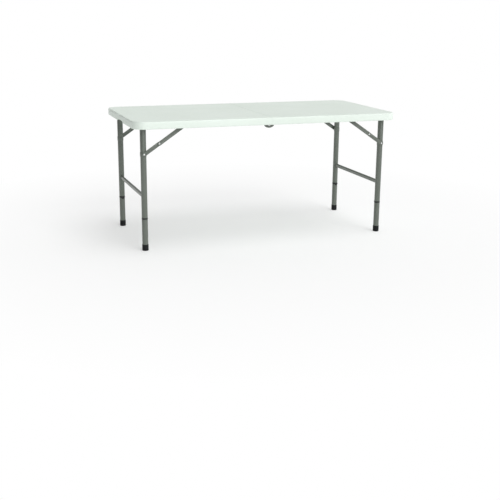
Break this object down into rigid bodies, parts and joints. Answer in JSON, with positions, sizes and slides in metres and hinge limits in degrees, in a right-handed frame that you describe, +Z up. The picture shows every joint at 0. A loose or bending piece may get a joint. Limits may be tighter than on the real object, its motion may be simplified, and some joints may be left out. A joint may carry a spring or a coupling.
{
  "type": "folding table",
  "caption": "Fold-in-half rectangular table: moulded half tops on a hinged steel frame, braced folding leg frames, pull-off extension legs, snap clips and a carry strap.",
  "frame": {"origin": "on the floor at the middle of the footprint, table opened out on its legs", "axes": "+X along the length towards the half with the latch clips, +Y to the back, the side with the carry strap, +Z up"},
  "size_m": [1.6, 0.768, 0.74],
  "materials": {
    "moulded_top": "off-white blow-moulded polyethylene, fine grain",
    "frame_paint": "grey hammer-tone powder coat on steel tube",
    "rivet_steel": "bright zinc-plated rivets and pins",
    "black_plastic": "black moulded nylon",
    "foot_rubber": "black soft foot caps",
    "webbing": "black woven webbing"
  },
  "bodies": {
    "hinge_bar": {"centre_tube": "frame_paint", "hinge_pin_front": "rivet_steel", "hinge_pin_back": "rivet_steel"},
    "half_left": {"tabletop_left": "moulded_top", "rail_front_left": "frame_paint", "rail_cap_front_left": "black_plastic", "hinge_leaf_front_left": "frame_paint", "rail_bracket_front_left": "frame_paint", "rail_back_left": "frame_paint", "rail_cap_back_left": "black_plastic", "hinge_leaf_back_left": "frame_paint", "rail_bracket_back_left": "frame_paint"},
    "leg_frame_left": {"pivot_tube_left": "frame_paint", "crossbar_left": "frame_paint", "leg_front_left": "frame_paint", "leg_bush_front_left": "black_plastic", "leg_bracket_front_left": "frame_paint", "leg_back_left": "frame_paint", "leg_bush_back_left": "black_plastic", "leg_bracket_back_left": "frame_paint"},
    "brace_upper_left": {"brace_upper_front_left": "frame_paint", "brace_upper_back_left": "frame_paint"},
    "brace_lower_left": {"brace_lower_front_left": "frame_paint", "brace_lower_back_left": "frame_paint"},
    "extension_front_left": {"extension_leg_front_left": "frame_paint", "lock_collar_front_left": "black_plastic", "foot_cap_front_left": "foot_rubber"},
    "extension_back_left": {"extension_leg_back_left": "frame_paint", "lock_collar_back_left": "black_plastic", "foot_cap_back_left": "foot_rubber"},
    "half_right": {"tabletop_right": "moulded_top", "rail_front_right": "frame_paint", "rail_cap_front_right": "black_plastic", "hinge_leaf_front_right": "frame_paint", "rail_bracket_front_right": "frame_paint", "rail_back_right": "frame_paint", "rail_cap_back_right": "black_plastic", "hinge_leaf_back_right": "frame_paint", "rail_bracket_back_right": "frame_paint"},
    "leg_frame_right": {"pivot_tube_right": "frame_paint", "crossbar_right": "frame_paint", "leg_front_right": "frame_paint", "leg_bush_front_right": "black_plastic", "leg_bracket_front_right": "frame_paint", "leg_back_right": "frame_paint", "leg_bush_back_right": "black_plastic", "leg_bracket_back_right": "frame_paint", "latch_clip_front": "black_plastic", "latch_clip_back": "black_plastic"},
    "brace_upper_right": {"brace_upper_front_right": "frame_paint", "brace_upper_back_right": "frame_paint"},
    "brace_lower_right": {"brace_lower_front_right": "frame_paint", "brace_lower_back_right": "frame_paint"},
    "extension_front_right": {"extension_leg_front_right": "frame_paint", "lock_collar_front_right": "black_plastic", "foot_cap_front_right": "foot_rubber"},
    "extension_back_right": {"extension_leg_back_right": "frame_paint", "lock_collar_back_right": "black_plastic", "foot_cap_back_right": "foot_rubber"},
    "strap": {"carry_strap": "webbing"}
  },
  "joints": [
    {"name": "fold_left", "type": "hinge", "parent": "hinge_bar", "child": "half_left", "pos_m": [0, 0, 0.694], "axis": [0, -1, 0], "range_deg": [0, 90]},
    {"name": "legs_left", "type": "hinge", "parent": "half_left", "child": "leg_frame_left", "pos_m": [-0.734, 0, 0.713], "axis": [0, -1, 0], "range_deg": [0, 90]},
    {"name": "brace_upper_left_turn", "type": "hinge", "parent": "half_left", "child": "brace_upper_left", "pos_m": [-0.496, 0, 0.713], "axis": [0, -1, 0], "range_deg": [-34.91, 1]},
    {"name": "brace_lower_left_turn", "type": "hinge", "parent": "leg_frame_left", "child": "brace_lower_left", "pos_m": [-0.734, 0, 0.553], "axis": [0, -1, 0], "range_deg": [-1, 57.09]},
    {"name": "extension_front_left_pull", "type": "slide", "parent": "leg_frame_left", "child": "extension_front_left", "axis": [0, 0, 1], "range_m": [-0.15, 0]},
    {"name": "extension_back_left_pull", "type": "slide", "parent": "leg_frame_left", "child": "extension_back_left", "axis": [0, 0, 1], "range_m": [-0.15, 0]},
    {"name": "fold_right", "type": "hinge", "parent": "hinge_bar", "child": "half_right", "pos_m": [0, 0, 0.694], "axis": [0, 1, 0], "range_deg": [0, 90]},
    {"name": "legs_right", "type": "hinge", "parent": "half_right", "child": "leg_frame_right", "pos_m": [0.734, 0, 0.713], "axis": [0, 1, 0], "range_deg": [0, 90]},
    {"name": "brace_upper_right_turn", "type": "hinge", "parent": "half_right", "child": "brace_upper_right", "pos_m": [0.496, 0, 0.713], "axis": [0, 1, 0], "range_deg": [-34.91, 1]},
    {"name": "brace_lower_right_turn", "type": "hinge", "parent": "leg_frame_right", "child": "brace_lower_right", "pos_m": [0.734, 0, 0.553], "axis": [0, 1, 0], "range_deg": [-1, 57.09]},
    {"name": "extension_front_right_pull", "type": "slide", "parent": "leg_frame_right", "child": "extension_front_right", "axis": [0, 0, 1], "range_m": [-0.15, 0]},
    {"name": "extension_back_right_pull", "type": "slide", "parent": "leg_frame_right", "child": "extension_back_right", "axis": [0, 0, 1], "range_m": [-0.15, 0]},
    {"name": "strap_swing", "type": "hinge", "parent": "half_left", "child": "strap", "pos_m": [-0.38, 0.352, 0.713], "axis": [1, 0, 0], "range_deg": [-70, 80]}
  ],
  "couplings": [
    {"joint": "brace_upper_left_turn", "follows": "legs_left", "ratio": -0.3768},
    {"joint": "brace_lower_left_turn", "follows": "legs_left", "ratio": 0.6232},
    {"joint": "brace_upper_right_turn", "follows": "legs_right", "ratio": -0.3768},
    {"joint": "brace_lower_right_turn", "follows": "legs_right", "ratio": 0.6232}
  ]
}
